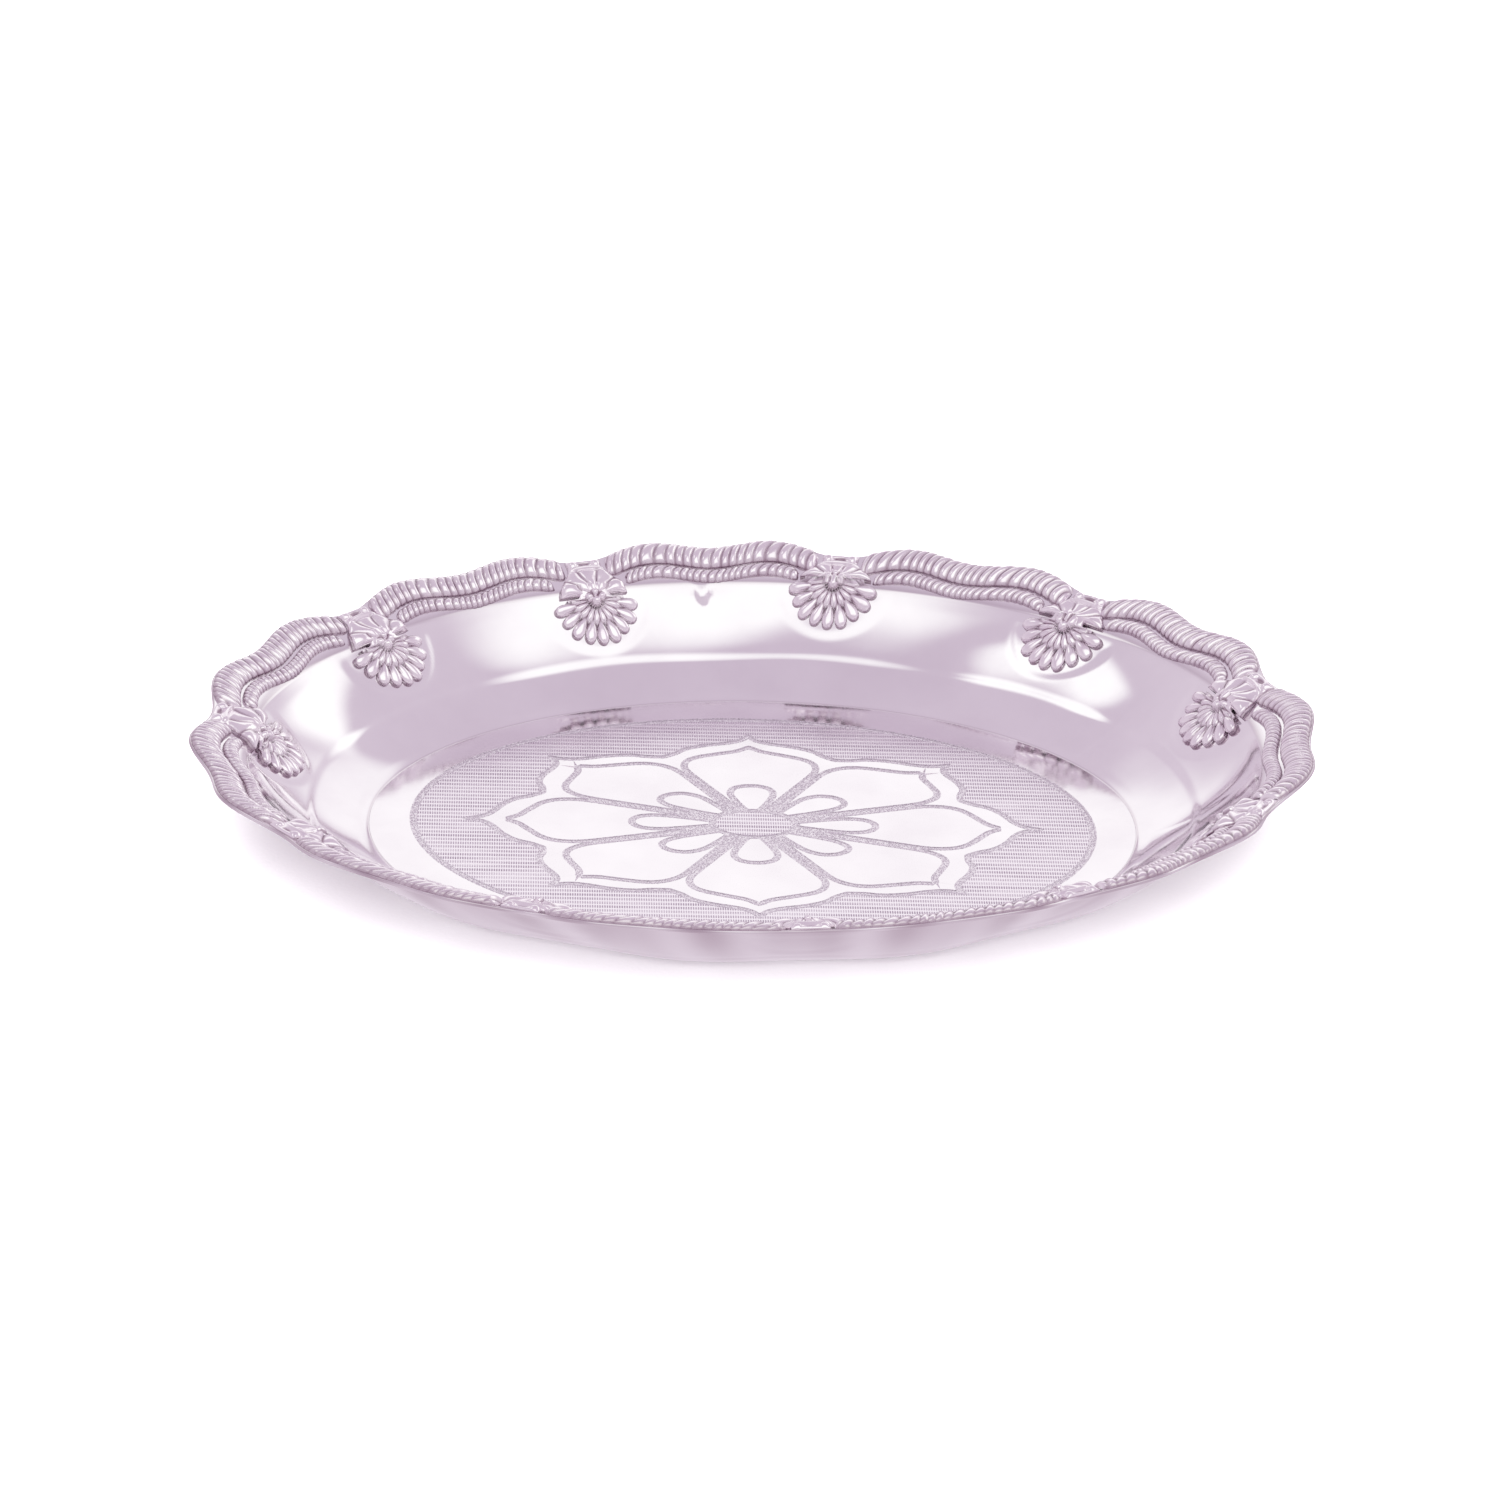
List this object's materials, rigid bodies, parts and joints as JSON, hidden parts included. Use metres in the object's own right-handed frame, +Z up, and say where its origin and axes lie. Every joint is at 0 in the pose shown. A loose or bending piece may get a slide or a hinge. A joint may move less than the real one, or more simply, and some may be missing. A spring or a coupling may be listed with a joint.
{
  "type": "offering plate",
  "caption": "Oval silver-plated ceremonial tray: shallow dish with a lobed rope-edged rim, shell mounts on its wall and a lotus engraved on its flat floor.",
  "frame": {"origin": "centre of the flat underside that the plate rests on", "axes": "+X along the plate's length, +Y across it, +Z up out of the dish"},
  "size_m": [0.2819, 0.2185, 0.0299],
  "materials": {
    "plate_silver": "polished silver plate, engraved and stippled on the floor",
    "border_silver": "bright silver plate with darker tone in the crevices"
  },
  "bodies": {
    "root": {"plate_body": "plate_silver", "outer_rope_01": "border_silver", "outer_rope_02": "border_silver", "outer_rope_03": "border_silver", "outer_rope_04": "border_silver", "outer_rope_05": "border_silver", "outer_rope_06": "border_silver", "outer_rope_07": "border_silver", "outer_rope_08": "border_silver", "outer_rope_09": "border_silver", "outer_rope_10": "border_silver", "outer_rope_11": "border_silver", "inner_rope_01": "border_silver", "inner_rope_02": "border_silver", "inner_rope_03": "border_silver", "inner_rope_04": "border_silver", "inner_rope_05": "border_silver", "inner_rope_06": "border_silver", "inner_rope_07": "border_silver", "inner_rope_08": "border_silver", "inner_rope_09": "border_silver", "inner_rope_10": "border_silver", "inner_rope_11": "border_silver", "shell_mount_01": "border_silver", "shell_mount_02": "border_silver", "shell_mount_03": "border_silver", "shell_mount_04": "border_silver", "shell_mount_05": "border_silver", "shell_mount_06": "border_silver", "shell_mount_07": "border_silver", "shell_mount_08": "border_silver", "shell_mount_09": "border_silver", "shell_mount_10": "border_silver", "shell_mount_11": "border_silver"}
  },
  "joints": []
}
